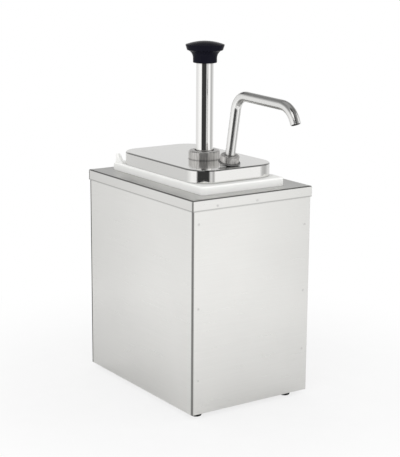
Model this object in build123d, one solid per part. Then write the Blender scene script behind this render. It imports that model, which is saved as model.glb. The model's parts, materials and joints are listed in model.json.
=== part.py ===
"""Counter-top hot fudge warmer with a jar and a hand pump.

A stainless cabinet stands on four rubber feet.  A heated well hangs from its top frame, and a
white plastic jar hangs in the well by a wide rim.  A deep-drawn lid sits on the rim and carries
a spring-return piston pump: knob and tube above, cylinder, valves and discharge tube below, and
a bent spout that leans forward out of the lid.

Millimetres.  X is across the front, +Y is towards the rear, +Z is up.  The origin is on the
counter, below the middle of the cabinet.  The spout points to the front, -Y.
"""

import os
from math import cos, radians, sin, sqrt, tan

from build123d import *

# ------------------------------------------------------------------ general fits
RUNNING = 0.05  # radial clearance of a shaft or piston in its bore
SLIP = 0.15  # clearance between loose sheet-metal or moulded pieces
SEAT = 0.25  # gap left where a curved or soft piece rests on another body

# ------------------------------------------------------------------ cabinet
BODY_UNDER = 74.0  # room under the jar, for the heater and the controls
BODY_SIDE = 26.5  # rim of the jar to the side of the cabinet
BODY_FRONT = 19.0  # rim of the jar to the front of the cabinet
BODY_REAR = 14.0  # rim of the jar to the rear of the cabinet
SHEET = 1.0  # stainless sheet of the cabinet
BEND_R = 0.8  # inside radius of the folds
FLANGE = 15.0  # side panel flanges, behind the front and rear panels
FRAME_SKIRT = 14.0  # height of the top frame's down-turned skirt
FRAME_SEAM = 0.9  # open seam at the corners of that skirt
TRAY_WALL = 14.0  # upturned wall of the base tray
WELD_D = 3.4  # spot-weld dimples in the front
WELD_DEEP = 0.3
WELD_INSET = 8.5  # from the sides of the front panel
WELD_SKIRT_X = (-54.7, 5.0)  # dimples in the front skirt of the top frame
WELD_SKIRT_DOWN = 9.5  # below the top of the frame
WELDS_LEFT = (0.16, 0.50, 0.89)  # heights of the dimples as shares of the cabinet's height
WELDS_RIGHT = (0.21, 0.50, 0.82)
VENT_L = 26.0
VENT_W = 4.0
VENT_PITCH = 9.0
VENT_ROWS = 6

# ------------------------------------------------------------------ feet
FOOT_H = 6.0  # rubber shown below the cabinet
FOOT_D = 16.0
FOOT_TIP_D = 13.0
FOOT_EDGE_R = 1.2
FOOT_INSET_LEFT = 15.0  # foot centre from the left side of the cabinet
FOOT_INSET_RIGHT = 25.0
FOOT_INSET_FRONT = 13.0
FOOT_INSET_REAR = 15.0
FOOT_POCKET_D = 9.0
FOOT_POCKET_H = 3.4
FOOT_SCREW_D = 4.0
FOOT_SCREW_HEAD_D = 7.4
FOOT_SCREW_HEAD_H = 2.2
FOOT_NUT_AF = 7.0
FOOT_NUT_H = 3.0

# ------------------------------------------------------------------ jar
JAR_W = 113.0  # outside of the jar body at its mouth
JAR_D = 187.0
JAR_R = 22.0
JAR_DRAFT = 4.0  # how much each side draws in, mouth to floor
JAR_WALL = 2.5
JAR_FLOOR = 3.0
JAR_FLOOR_R = 8.0
JAR_DEPTH = 199.0  # underside of the rim to the underside of the floor
RIM_SIDE = 7.0  # rim beyond the jar body at each side
RIM_END = 15.0  # rim beyond the jar body at the front and rear
RIM_R = 6.0
RIM_H = 10.5
RIM_DECK = 3.0
RIM_LIP = 3.0
RIM_EDGE_R = 2.4
COLLAR_H = 8.0  # upstand of the jar mouth inside the lid
EAR_T = 4.0
EAR_L = 16.5
EAR_H = 12.0
EAR_TOP_L = 5.5  # flat top, before the slope
EAR_FOOT_H = 0.5  # front end of the slope above the rim
EAR_SAG = 0.6  # hollow of the slope
EAR_TOP_R = 2.6
EAR_INSET = 0.8  # from the side of the rim
EAR_BACK = 8.5  # from the rear of the rim

# ------------------------------------------------------------------ heated well
WELL_GAP = 2.0  # jar body to well wall
WELL_WALL = 1.0
WELL_FLOOR_GAP = 6.0  # under the jar
WELL_FLOOR_R = 6.0
WELL_FLANGE = 9.0
STUD_D = 5.0
STUD_L = 12.0
STUD_X = 34.0
STUD_Y = 58.0
PAD_W = 96.0
PAD_D = 148.0
PAD_T = 2.5
PAD_R = 10.0
CLAMP_T = 3.0
CLAMP_MARGIN = 3.0  # the plate is this much smaller than the pad all round
NUT_AF = 8.0
NUT_H = 4.0
BLANKET_T = 15.0
BLANKET_GAP = 0.3
BLANKET_Z_GAP = 12.0  # blanket kept clear of the well flange
CUTOUT_D = 16.0
CUTOUT_H = 7.0
CUTOUT_EDGE_R = 1.0

# ------------------------------------------------------------------ lid
LID_SIDE = 5.0  # lid beyond the jar body at each side
LID_END = 4.0  # lid beyond the jar body at the front and rear
LID_R = 29.6
LID_H = 17.0
LID_T = 1.0
LID_EDGE_R = 1.8

# ------------------------------------------------------------------ pump, on an upright axis
PUMP_TO_SPOUT = 55.1  # plunger axis behind the spout, where both meet the top of the lid
STROKE = 60.0
CYL_OD = 28.6
CYL_WALL = 1.2
FOOT_CLEAR = 7.5  # foot of the pump above the floor of the jar
NECK_H = 8.4  # threaded neck above the lid
SHOULDER_D = 38.0
SHOULDER_T = 2.4
GASKET_T = 1.5
NUT12_SIDES = 12
COLLAR_NUT_ACROSS = 41.5  # across corners
COLLAR_NUT_H = 11.0
COLLAR_NUT_LIP = 2.2
COLLAR_NUT_HOLE_D = 25.4
COLLAR_NUT_BEVEL = 1.6
COLLAR_NUT_TURN = 7.2  # degrees past square, as tightened
NUT_BEVEL_ANGLE = 40.0
BUSH_L = 26.0
TUBE_OD = 22.2
TUBE_WALL = 1.2
KNOB_SHOW = 112.8  # bare tube between collar nut and knob
KNOB_H = 27.5
KNOB_D = 50.0
KNOB_SHANK_D = 30.8
KNOB_SHANK_H = 5.4
KNOB_RIM_H = 7.2  # tapered rim below the crown
KNOB_RIM_R = 1.1
KNOB_CROWN_H = 4.2
KNOB_POCKET = 14.0
PISTON_H = 17.0
PISTON_SPIGOT = 14.0
PISTON_CLEAR = 0.3  # piston body to cylinder
PISTON_LAND = 2.4  # below and above the seals
SEAL_LIP = 0.9
SEAL_SIDE = 0.1
SEAL_W = 3.2
SEAL_D = 2.6
SPRING_D = 19.0  # outside of the coil
SPRING_WIRE = 1.8
SPRING_TURNS = 8.5
SPRING_SOLID = 20.0  # room left for the closed spring
SPRING_DISH = 2.0  # dish that centres the coil under the piston
VALVE_D = 36.0
VALVE_BELOW = 36.0  # valve body below the cylinder end
VALVE_SOCKET = 12.0  # cylinder length held in the valve body
BALL_D = 12.0
BALL_LIFT = 3.0
BALL_STOP = 1.0  # room above a lifted ball
CHAMBER_CLEAR = 1.2  # radial room round a ball
INTAKE_D = 9.0
INTAKE_CAP_H = 14.0
INTAKE_CAP_THREAD_H = 8.0
INTAKE_FOOT_H = 3.0  # notches at the foot of the cap
INTAKE_NOTCH_W = 6.0
INTAKE_FOOT_D = 32.0
VALVE_EDGE_R = 1.5

# ------------------------------------------------------------------ spout, on a leaning axis
SPOUT_INSET = 19.4  # leaning axis behind the front of the jar's mouth, at the top of the lid
LEAN = 10.9  # degrees forward of upright
SPOUT_OD = 12.7
SPOUT_WALL = 1.0
SPOUT_Z = 90.2  # near end of the upper leg above the top of the lid
SPOUT_DROOP = 1.6  # degrees the upper leg falls towards its far end
SPOUT_REACH = 124.6  # lid crossing to the far bend's corner, front to rear
BEND_LOW_R = 22.0
BEND_TIP_R = 28.0
TIP_TURN = 65.0  # degrees the end turns down
TIP_STRAIGHT = 4.2
BOSS_D = 22.0
BOSS_DOWN = 7.0
RING_D = 28.4
RING_T = 1.3
SPOUT_NUT_ACROSS = 24.5
SPOUT_NUT_H = 9.0
SPOUT_NUT_LIP = 1.9
SPOUT_NUT_BEVEL = 1.0
UNION_OD = 17.0
UNION_SHOULDER_T = 3.0
UNION_TAIL = 14.0
SPOUT_NUT_CLEAR = 0.4  # round the tube in the nut's lip
SOCKET_STOP = 6.0
SPOUT_BEAD_D = 16.0
SPOUT_BEAD_T = 1.6
DISCHARGE_BALL_D = 8.0
PORT_D = 19.0
PORT_END_Z = 4.0  # foot of the port above the foot of the valve body
PORT_FLOOR = 5.0
PORT_SEAT = 20.0  # ball seat above the foot of the port
PORT_SOCKET = 10.0
PORT_BORE_D = 5.6

# ------------------------------------------------------------------ controls on the rear panel
CONTROL_Z = 42.0
CONTROL_GAP = 5.0  # between neighbours in the row
DIAL_D = 38.0
DIAL_H = 16.0
DIAL_GAP = 1.0
DIAL_SKIRT_H = 4.5
DIAL_TAPER = 3.0
DIAL_GRIP_W = 10.0
STAT_W = 38.0
STAT_DEEP = 24.0
STAT_NECK_D = 12.0
STAT_EDGE_R = 3.0
STAT_TAB_X = 8.0
STAT_SCREW_L = 7.5
STAT_SCREW_PITCH = 28.0
STAT_SCREW_D = 3.0
SPINDLE_D = 6.0
SPINDLE_IN = 12.0
SPINDLE_OUT = 14.0
SPINDLE_FLAT_L = 7.0
SPINDLE_FLAT = 0.75  # depth of the flat
SWITCH_W = 15.0
SWITCH_H = 21.0
SWITCH_BEZEL = 2.0
SWITCH_DEEP = 18.0
ROCKER_TILT = 8.0
ROCKER_PIVOT = 0.6  # pivot axis outside the panel face
ROCKER_END_H = 2.6  # raised ends above the pivot
ROCKER_MID_H = 1.6
ROCKER_UNDER = 4.0
ROCKER_GAP = 0.6  # to the window at each end
SWITCH_FRAME = 2.0  # width of the frame round the window
LAMP_D = 11.0
LAMP_BEZEL_H = 1.6
LAMP_DEEP = 20.0
LAMP_WALL = 1.0
LAMP_POCKET = 4.0
LAMP_TAB_W = 2.8
INLET_W = 50.0
INLET_H = 24.0
INLET_FLANGE = 3.0
INLET_BODY_W = 27.6
INLET_BODY_H = 20.0
INLET_DEEP = 20.0
INLET_SCREW_PITCH = 40.0
INLET_CAVITY_DEPTH = 16.0
INLET_WALL = 1.6
PIN_RECESS = 5.0
PIN_W = 2.0
PIN_H = 4.0
PIN_PITCH = 7.0
PIN_OFFSET = 2.0  # middle blade above, outer blades below the socket's centre
PIN_TAIL = 8.0
TAB_W = 6.3  # push-on terminal tabs
TAB_T = 0.8
TAB_L = 8.0
BLOCK_W = 44.0
BLOCK_D = 20.0
BLOCK_H = 16.0
BLOCK_Y = 50.0
BLOCK_PITCH = 8.5
BLOCK_SCREW_D = 5.0
BLOCK_WIRE_D = 3.2
BLOCK_WIRE_Z = 7.0
PANEL_SCREW_D = 3.5
PANEL_SCREW_HEAD_D = 6.6
PANEL_SCREW_HEAD_H = 1.9
PANEL_SCREW_L = 8.0

# ------------------------------------------------------------------ sensing bulb and leads inside
BULB_D = 6.0
BULB_L = 60.0
BULB_X = 26.0
CLIP_W = 9.0
CLIP_L = 7.0
CAPILLARY_D = 1.6
CAPILLARY_RISE = 12.0  # loop above the thermostat case
CAPILLARY_BEND = 2.5
LEAD_D = 2.2
LEAD_STUB = 5.0  # straight out of each terminal
LEAD_BEND = 2.2
LEAD_X = 20.0  # where the leads leave the heater pad
SLEEVE_WALL = 0.9  # push-on sleeves over the tabs

# ------------------------------------------------------------------ places worked out from the sizes
BODY_H = JAR_DEPTH + BODY_UNDER  # underside of the panels to the top of the frame
RIM_W = JAR_W + 2 * RIM_SIDE
RIM_D = JAR_D + 2 * RIM_END
LID_W = JAR_W + 2 * LID_SIDE
LID_D = JAR_D + 2 * LID_END
BODY_W = RIM_W + 2 * BODY_SIDE
BODY_D = RIM_D + BODY_FRONT + BODY_REAR
JAR_Y = (BODY_FRONT - BODY_REAR) / 2  # jar and lid centre, behind the cabinet centre
SPOUT_Y = JAR_Y - JAR_D / 2 + SPOUT_INSET
PUMP_Y = SPOUT_Y + PUMP_TO_SPOUT
BASE_Z = FOOT_H
FRAME_Z = BASE_Z + BODY_H  # top of the frame, where the rim rests
RIM_Z = FRAME_Z + RIM_H  # top of the rim, where the lid rests
LID_Z = RIM_Z + LID_H  # top of the lid
JAR_BOTTOM_Z = FRAME_Z - JAR_DEPTH
WELL_W = JAR_W + 2 * WELL_GAP
WELL_D = JAR_D + 2 * WELL_GAP
WELL_R = JAR_R + WELL_GAP
WELL_BOTTOM_Z = JAR_BOTTOM_Z - WELL_FLOOR_GAP - WELL_WALL
PAD_Z = WELL_BOTTOM_Z - PAD_T
CLAMP_Z = PAD_Z - CLAMP_T
PANEL_TOP_Z = FRAME_Z - SHEET
FRAME_W = BODY_W + 2 * (SHEET + SLIP)
FRAME_D = BODY_D + 2 * (SHEET + SLIP)
REAR_Y = BODY_D / 2  # outer face of the rear panel

CYL_ID = CYL_OD - 2 * CYL_WALL
VALVE_Z = JAR_BOTTOM_Z + JAR_FLOOR + FOOT_CLEAR + INTAKE_CAP_H - INTAKE_CAP_THREAD_H
CYL_Z = VALVE_Z + VALVE_BELOW
PISTON_Z = CYL_Z + SPRING_SOLID + STROKE  # underside of the piston at rest
TUBE_ID = TUBE_OD - 2 * TUBE_WALL
KNOB_Z = LID_Z + COLLAR_NUT_H + KNOB_SHOW
VALVE_TOP_Z = CYL_Z + VALVE_SOCKET

LAMP_BEZEL_D = LAMP_D + 2 * LAMP_WALL
CONTROL_ROW = INLET_W + SWITCH_W + LAMP_BEZEL_D + DIAL_D + 3 * CONTROL_GAP
INLET_X = (INLET_W - CONTROL_ROW) / 2
SWITCH_X = INLET_X + (INLET_W + SWITCH_W) / 2 + CONTROL_GAP
LAMP_X = SWITCH_X + (SWITCH_W + LAMP_BEZEL_D) / 2 + CONTROL_GAP
DIAL_X = LAMP_X + (LAMP_BEZEL_D + DIAL_D) / 2 + CONTROL_GAP

SPOUT_ID = SPOUT_OD - 2 * SPOUT_WALL
RING_S = RING_D / 2 * tan(radians(LEAN)) + 0.05  # the ring's front edge just meets the lid
NUT_S = RING_S + RING_T
NUT_TOP_S = NUT_S + SPOUT_NUT_H
BEAD_S = NUT_TOP_S - SPOUT_NUT_LIP - SPOUT_BEAD_T - SLIP
UNION_TOP_S = BEAD_S - SLIP
SOCKET_S = -SOCKET_STOP / 2  # lower end of the spout in the union


# ------------------------------------------------------------------ helpers
def block(width, depth, radius, low, high, y=0.0):
    """An upright prism with a rounded-rectangle plan."""
    return Pos(0, y, low) * extrude(RectangleRounded(width, depth, radius), high - low)


def box(x0, x1, y0, y1, z0, z1):
    """A box given by its limits."""
    return Pos((x0 + x1) / 2, (y0 + y1) / 2, (z0 + z1) / 2) * Box(x1 - x0, y1 - y0, z1 - z0)


def rod(diameter, low, high):
    """A round bar on the local Z axis."""
    return Pos(0, 0, (low + high) / 2) * Cylinder(diameter / 2, high - low)


def pipe(outer, inner, low, high):
    """A tube on the local Z axis."""
    return rod(outer, low, high) - rod(inner, low - 1, high + 1)


def turned(*outline):
    """A solid of revolution from (radius, height) corners."""
    points = [(r, 0, z) for r, z in outline]
    return revolve(make_face(Polyline(*points, close=True)), Axis.Z)


def cone(low_d, high_d, low, high):
    """A cone frustum on the local Z axis."""
    return turned((0, low), (low_d / 2, low), (high_d / 2, high), (0, high))


def on_pump(shape):
    """From the pump's own axis to the cabinet frame."""
    return Pos(0, PUMP_Y, 0) * shape


def on_lean(shape):
    """From the leaning spout axis, zero at the lid's top, to the cabinet frame."""
    return Pos(0, SPOUT_Y, LID_Z) * Rot(LEAN, 0, 0) * shape


def on_rear(shape, x, z=CONTROL_Z):
    """A control drawn looking out along local +Z, set on the rear panel's outer face."""
    return Pos(x, REAR_Y, z) * Rot(-90, 0, 0) * shape


def hexagon(across_flats, low, high, hole=0.0):
    """A hexagon nut on the local Z axis."""
    nut = Pos(0, 0, low) * extrude(RegularPolygon(across_flats / sqrt(3), 6), high - low)
    return nut - rod(hole, low - 1, high + 1) if hole else nut


def tab(width, depth, way):
    """A terminal tab from z = 0 up (way 1) or down (way -1), rooted a little in its carrier."""
    root = TAB_T / 2
    return Pos(0, 0, way * (TAB_L - root) / 2) * Box(width, depth, TAB_L + root)


def foot_places():
    """Foot centres by name."""
    left = -BODY_W / 2 + FOOT_INSET_LEFT
    right = BODY_W / 2 - FOOT_INSET_RIGHT
    front = -BODY_D / 2 + FOOT_INSET_FRONT
    rear = BODY_D / 2 - FOOT_INSET_REAR
    return {
        "front_left": (left, front),
        "front_right": (right, front),
        "rear_left": (left, rear),
        "rear_right": (right, rear),
    }


# ------------------------------------------------------------------ cabinet
def side_panel(side):
    """A side with a flange folded in at the front and rear, one folded sheet."""
    mid = SHEET / 2
    x_out = BODY_W / 2 - mid
    y_out = BODY_D / 2 - SHEET - mid
    x_in = BODY_W / 2 - FLANGE
    path = FilletPolyline(
        (x_in, -y_out), (x_out, -y_out), (x_out, y_out), (x_in, y_out), radius=BEND_R + mid
    )
    panel = Pos(0, 0, BASE_Z) * extrude(trace(path, SHEET), PANEL_TOP_Z - BASE_Z)
    for x, z in panel_screw_places():
        panel -= on_rear(rod(PANEL_SCREW_D + 2 * SLIP, -3 * SHEET, SHEET), abs(x), z)
    return panel if side > 0 else mirror(panel, Plane.YZ)


def face_panel():
    """A flat panel for the front or rear, with eased upright edges, its outer face on y = 0."""
    panel = box(-BODY_W / 2, BODY_W / 2, 0, SHEET, BASE_Z, PANEL_TOP_Z)
    return fillet(panel.edges().filter_by(Axis.Z).filter_by(lambda e: e.center().Y < 0.1), SHEET * 0.4)


def dimple(x, y, z):
    """The ball that presses a spot-weld dimple into a face looking to the front at y."""
    radius = (WELD_D**2 / 4 + WELD_DEEP**2) / (2 * WELD_DEEP)
    return Pos(x, y - radius + WELD_DEEP, z) * Sphere(radius)


def front_panel():
    """The front, spot-welded to the flanges of the side panels."""
    panel = Pos(0, -BODY_D / 2, 0) * face_panel()
    x = BODY_W / 2 - WELD_INSET
    for place, shares in ((-x, WELDS_LEFT), (x, WELDS_RIGHT)):
        for share in shares:
            panel -= dimple(place, -BODY_D / 2, BASE_Z + share * BODY_H)
    return panel


def panel_screw_places():
    """Screws of the rear panel into the side flanges: (x, z) pairs."""
    x = BODY_W / 2 - FLANGE / 2 - BEND_R
    low = BASE_Z + TRAY_WALL + PANEL_SCREW_HEAD_D
    high = FRAME_Z - FRAME_SKIRT - 2 * PANEL_SCREW_HEAD_D
    heights = (low, (low + high) / 2, high)
    return [(side * x, z) for side in (-1, 1) for z in heights]


def rear_panel():
    """The screwed service panel with the holes for the controls."""
    panel = Pos(0, BODY_D / 2, 0) * Rot(0, 0, 180) * face_panel()
    for x, z in panel_screw_places():
        panel -= on_rear(rod(PANEL_SCREW_D + 2 * SLIP, -2 * SHEET, SHEET), x, z)
    panel -= on_rear(rod(STAT_NECK_D + 2 * SLIP, -2 * SHEET, SHEET), DIAL_X)
    for shift in (-STAT_SCREW_PITCH / 2, STAT_SCREW_PITCH / 2):
        panel -= on_rear(rod(STAT_SCREW_D + 2 * SLIP, -2 * SHEET, SHEET), DIAL_X + shift)
    for shift in (-INLET_SCREW_PITCH / 2, INLET_SCREW_PITCH / 2):
        panel -= on_rear(rod(STAT_SCREW_D + 2 * SLIP, -2 * SHEET, SHEET), INLET_X + shift)
    panel -= on_rear(rod(LAMP_D - 2 * LAMP_WALL + 2 * SLIP, -2 * SHEET, SHEET), LAMP_X)
    switch_hole = Box(SWITCH_W - SWITCH_FRAME + 2 * SLIP, SWITCH_H - SWITCH_FRAME + 2 * SLIP, 4 * SHEET)
    panel -= on_rear(switch_hole, SWITCH_X)
    inlet_hole = Box(INLET_BODY_W + 2 * SLIP, INLET_BODY_H + 2 * SLIP, 4 * SHEET)
    return panel - on_rear(inlet_hole, INLET_X)


def base_tray():
    """The floor of the cabinet, a tray with foot holes and two banks of vent slots."""
    width = BODY_W - 2 * SHEET
    depth = BODY_D - 4 * SHEET
    radius = BEND_R + 2 * SHEET
    tray = block(width, depth, radius, BASE_Z, BASE_Z + TRAY_WALL)
    floor_z = BASE_Z + SHEET
    inner = block(width - 2 * SHEET, depth - 2 * SHEET, radius - SHEET, floor_z, BASE_Z + TRAY_WALL + 1)
    tray -= inner
    for x, y in foot_places().values():
        tray -= Pos(x, y, BASE_Z) * rod(FOOT_SCREW_D + 2 * SLIP, -2, 2 * SHEET)
    slot = extrude(SlotOverall(VENT_L, VENT_W), 4 * SHEET, both=True)
    for spot in GridLocations(2 * VENT_L, VENT_PITCH, 2, VENT_ROWS):
        tray -= Pos(0, -BODY_D / 8, BASE_Z) * spot * slot
    return tray


def top_frame():
    """The frame that slips over the cabinet: flat top, open middle, skirt with open corner seams."""
    low = FRAME_Z - FRAME_SKIRT
    frame = box(-FRAME_W / 2, FRAME_W / 2, -FRAME_D / 2, FRAME_D / 2, low, FRAME_Z)
    frame = fillet(frame.faces().sort_by(Axis.Z)[-1].edges(), BEND_R + SHEET)
    inner_w = FRAME_W / 2 - SHEET
    inner_d = FRAME_D / 2 - SHEET
    frame -= box(-inner_w, inner_w, -inner_d, inner_d, low - 1, FRAME_Z - SHEET)
    for sx in (-1, 1):
        for sy in (-1, 1):
            seam = Box(3 * SHEET, FRAME_SEAM, FRAME_SKIRT - SHEET - BEND_R)
            seam_z = low + (FRAME_SKIRT - SHEET - BEND_R) / 2 - 0.01
            frame -= Pos(sx * FRAME_W / 2, sy * (inner_d - FRAME_SEAM / 2), seam_z) * seam
    for x in WELD_SKIRT_X:
        frame -= dimple(x, -FRAME_D / 2, FRAME_Z - WELD_SKIRT_DOWN)
    return frame - block(WELL_W, WELL_D, WELL_R, FRAME_Z - 2 * SHEET, FRAME_Z + 1, JAR_Y)


# ------------------------------------------------------------------ feet
def rubber_foot():
    """A turned rubber foot with a pocket for its screw, standing on z = 0."""
    r_top = FOOT_D / 2
    r_tip = FOOT_TIP_D / 2
    foot = turned((0, 0), (r_tip, 0), (r_top, FOOT_H), (0, FOOT_H))
    foot = fillet(foot.edges().sort_by(Axis.Z)[0], FOOT_EDGE_R)
    foot -= rod(FOOT_POCKET_D, -1, FOOT_POCKET_H)
    return foot - rod(FOOT_SCREW_D + 2 * SLIP, -1, FOOT_H + 1)


def foot_screw():
    """A pan-head screw up through the foot and the tray."""
    head = rod(FOOT_SCREW_HEAD_D, FOOT_POCKET_H - FOOT_SCREW_HEAD_H, FOOT_POCKET_H)
    head = fillet(head.edges().sort_by(Axis.Z)[0], FOOT_SCREW_HEAD_H * 0.4)
    screw = head + rod(FOOT_SCREW_D, FOOT_POCKET_H, BASE_Z + SHEET + FOOT_NUT_H + 2)
    return screw - drive(FOOT_SCREW_HEAD_D, FOOT_POCKET_H - FOOT_SCREW_HEAD_H)


def at_feet(shape):
    """The same piece at each foot, as one group."""
    return Compound(children=[Pos(x, y, 0) * shape for x, y in foot_places().values()])


# ------------------------------------------------------------------ jar
def jar_ear(side):
    """An ear on the rim's rear corner: upright at the rear, with a hollow slope at the front."""
    rear = JAR_Y + RIM_D / 2 - EAR_BACK
    front = rear - EAR_L
    root = RIM_Z - RIM_DECK / 2
    top = RIM_Z + EAR_H
    foot = RIM_Z + EAR_FOOT_H
    shoulder = rear - EAR_TOP_L
    outline = [
        Line((0, front, root), (0, rear, root)),
        Line((0, rear, root), (0, rear, top)),
        Line((0, rear, top), (0, shoulder, top)),
        ThreePointArc(
            (0, shoulder, top),
            (0, (shoulder + front + EAR_SAG) / 2, (top + foot - EAR_SAG) / 2),
            (0, front, foot),
        ),
        Line((0, front, foot), (0, front, root)),
    ]
    ear = extrude(make_face(outline), EAR_T, dir=(1, 0, 0))
    ear = fillet(ear.edges().filter_by(Axis.X).filter_by(lambda e: e.center().Z > top - 1), EAR_TOP_R)
    x_out = RIM_W / 2 - EAR_INSET
    return Pos(x_out - EAR_T if side > 0 else -x_out, 0, 0) * ear


def jar_body(inset, low, high_w):
    """The jar's drafted body between its floor and its mouth, drawn in by an inset."""
    draft = JAR_DRAFT * 2
    radius = JAR_R - inset
    bottom = Pos(0, JAR_Y, low) * RectangleRounded(
        JAR_W - draft - 2 * inset, JAR_D - draft - 2 * inset, radius
    )
    top = Pos(0, JAR_Y, high_w) * RectangleRounded(JAR_W - 2 * inset, JAR_D - 2 * inset, radius)
    return loft([bottom, top])


def jar():
    """The moulded jar: drafted body, hollow rim with a lip, mouth collar and two ears."""
    deck_under = RIM_Z - RIM_DECK
    outer = jar_body(0, JAR_BOTTOM_Z, deck_under)
    outer = fillet(outer.faces().sort_by(Axis.Z)[0].edges(), JAR_FLOOR_R)
    rim = block(RIM_W, RIM_D, RIM_R, FRAME_Z, RIM_Z, JAR_Y)
    rim = fillet(rim.faces().sort_by(Axis.Z)[-1].edges(), RIM_EDGE_R)
    hollow_r = max(RIM_R - RIM_LIP, 1.0)
    rim -= block(RIM_W - 2 * RIM_LIP, RIM_D - 2 * RIM_LIP, hollow_r, FRAME_Z - 1, deck_under, JAR_Y)
    collar = block(JAR_W, JAR_D, JAR_R, deck_under, RIM_Z + COLLAR_H, JAR_Y)
    whole = outer + rim + collar
    for side in (-1, 1):
        whole += jar_ear(side)
    inner = jar_body(JAR_WALL, JAR_BOTTOM_Z + JAR_FLOOR, deck_under)
    inner = fillet(inner.faces().sort_by(Axis.Z)[0].edges(), JAR_FLOOR_R - JAR_WALL)
    mouth = block(
        JAR_W - 2 * JAR_WALL, JAR_D - 2 * JAR_WALL, JAR_R - JAR_WALL, deck_under, RIM_Z + COLLAR_H + 1, JAR_Y
    )
    return whole - inner - mouth


# ------------------------------------------------------------------ heated well
def well_liner():
    """The deep well with its flange under the top frame and four studs under its floor."""
    outer = block(
        WELL_W + 2 * WELL_WALL, WELL_D + 2 * WELL_WALL, WELL_R + WELL_WALL, WELL_BOTTOM_Z, PANEL_TOP_Z, JAR_Y
    )
    outer = fillet(outer.faces().sort_by(Axis.Z)[0].edges(), WELL_FLOOR_R + WELL_WALL)
    inner = block(WELL_W, WELL_D, WELL_R, WELL_BOTTOM_Z + WELL_WALL, PANEL_TOP_Z + 1, JAR_Y)
    inner = fillet(inner.faces().sort_by(Axis.Z)[0].edges(), WELL_FLOOR_R)
    flange = block(
        WELL_W + 2 * WELL_FLANGE,
        WELL_D + 2 * WELL_FLANGE,
        WELL_R + WELL_FLANGE,
        PANEL_TOP_Z - WELL_WALL,
        PANEL_TOP_Z,
        JAR_Y,
    )
    liner = outer + flange - inner
    for x, y in stud_places():
        liner += Pos(x, y, WELL_BOTTOM_Z) * rod(STUD_D, -STUD_L, 0.2)
    return liner


def stud_places():
    """Weld studs under the well floor."""
    return [(x, JAR_Y + y) for x in (-STUD_X, STUD_X) for y in (-STUD_Y, STUD_Y)]


def under_well(width, depth, radius, low, thick):
    """A flat piece under the well floor, pierced for the studs."""
    plate = block(width, depth, radius, low, low + thick, JAR_Y)
    for x, y in stud_places():
        plate -= Pos(x, y, low) * rod(STUD_D + 2 * SLIP, -1, thick + 1)
    return plate


def heater_pad():
    return under_well(PAD_W, PAD_D, PAD_R, PAD_Z, PAD_T)


def heater_clamp_plate():
    """The aluminium plate that presses the pad up, stiffened by two pressed ribs."""
    width = PAD_W - 2 * CLAMP_MARGIN
    depth = PAD_D - 2 * CLAMP_MARGIN
    plate = under_well(width, depth, PAD_R, CLAMP_Z, CLAMP_T)
    rib = Pos(0, JAR_Y, CLAMP_Z) * Rot(90, 0, 0) * extrude(Circle(CLAMP_T), depth * 0.4, both=True)
    half = box(-width, width, -BODY_D, BODY_D, CLAMP_Z - 2 * CLAMP_T, CLAMP_Z + CLAMP_T / 2)
    for x in (-width / 5, width / 5):
        plate += Pos(x, 0, 0) * (rib & half)
    return plate


def heater_nuts():
    nut = hexagon(NUT_AF, CLAMP_Z - NUT_H, CLAMP_Z, STUD_D + 2 * RUNNING)
    return Compound(children=[Pos(x, y, 0) * nut for x, y in stud_places()])


def insulation_blanket():
    """Mineral wool wrapped round the well walls."""
    inner_w = WELL_W + 2 * (WELL_WALL + BLANKET_GAP)
    inner_d = WELL_D + 2 * (WELL_WALL + BLANKET_GAP)
    inner_r = WELL_R + WELL_WALL + BLANKET_GAP
    low = WELL_BOTTOM_Z + WELL_FLOOR_R
    high = PANEL_TOP_Z - WELL_WALL - BLANKET_Z_GAP
    ring = block(inner_w + 2 * BLANKET_T, inner_d + 2 * BLANKET_T, inner_r + BLANKET_T, low, high, JAR_Y)
    return ring - block(inner_w, inner_d, inner_r, low - 1, high + 1, JAR_Y)


def thermal_cutout():
    """A disc cut-out on the clamp plate, with two upright tabs."""
    can = Pos(0, JAR_Y, CLAMP_Z - CUTOUT_H) * rod(CUTOUT_D, 0, CUTOUT_H)
    can = fillet(can.edges().sort_by(Axis.Z)[0], CUTOUT_EDGE_R)
    for x in (-CUTOUT_D / 4, CUTOUT_D / 4):
        can += Pos(x, JAR_Y, CLAMP_Z - CUTOUT_H) * tab(TAB_T, TAB_W, -1)
    return can


# ------------------------------------------------------------------ lid
def lid():
    """The deep-drawn lid, with a round hole for the pump neck and a leaning one for the boss."""
    shell = block(LID_W, LID_D, LID_R, RIM_Z, LID_Z, JAR_Y)
    shell = fillet(shell.faces().sort_by(Axis.Z)[-1].edges(), LID_EDGE_R)
    inner = block(LID_W - 2 * LID_T, LID_D - 2 * LID_T, LID_R - LID_T, RIM_Z - 1, LID_Z - LID_T, JAR_Y)
    inner = fillet(inner.faces().sort_by(Axis.Z)[-1].edges(), LID_EDGE_R - LID_T)
    shell -= inner
    shell -= on_pump(rod(CYL_OD + 2 * SLIP, LID_Z - 3 * LID_T, LID_Z + 1))
    return shell - on_lean(rod(BOSS_D + 2 * RUNNING, -BOSS_D, BOSS_D))


# ------------------------------------------------------------------ pump head and cylinder
def pump_cylinder():
    """The pump barrel: threaded neck through the lid, clamping shoulder, plain tube below."""
    top = LID_Z + NECK_H
    shoulder_top = LID_Z - LID_T - GASKET_T
    barrel = pipe(CYL_OD, CYL_ID, CYL_Z, top)
    barrel += pipe(SHOULDER_D, CYL_ID, shoulder_top - SHOULDER_T, shoulder_top)
    return on_pump(barrel)


def cylinder_gasket():
    high = LID_Z - LID_T
    return on_pump(pipe(SHOULDER_D, CYL_OD + 2 * SLIP, high - GASKET_T, high))


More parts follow.
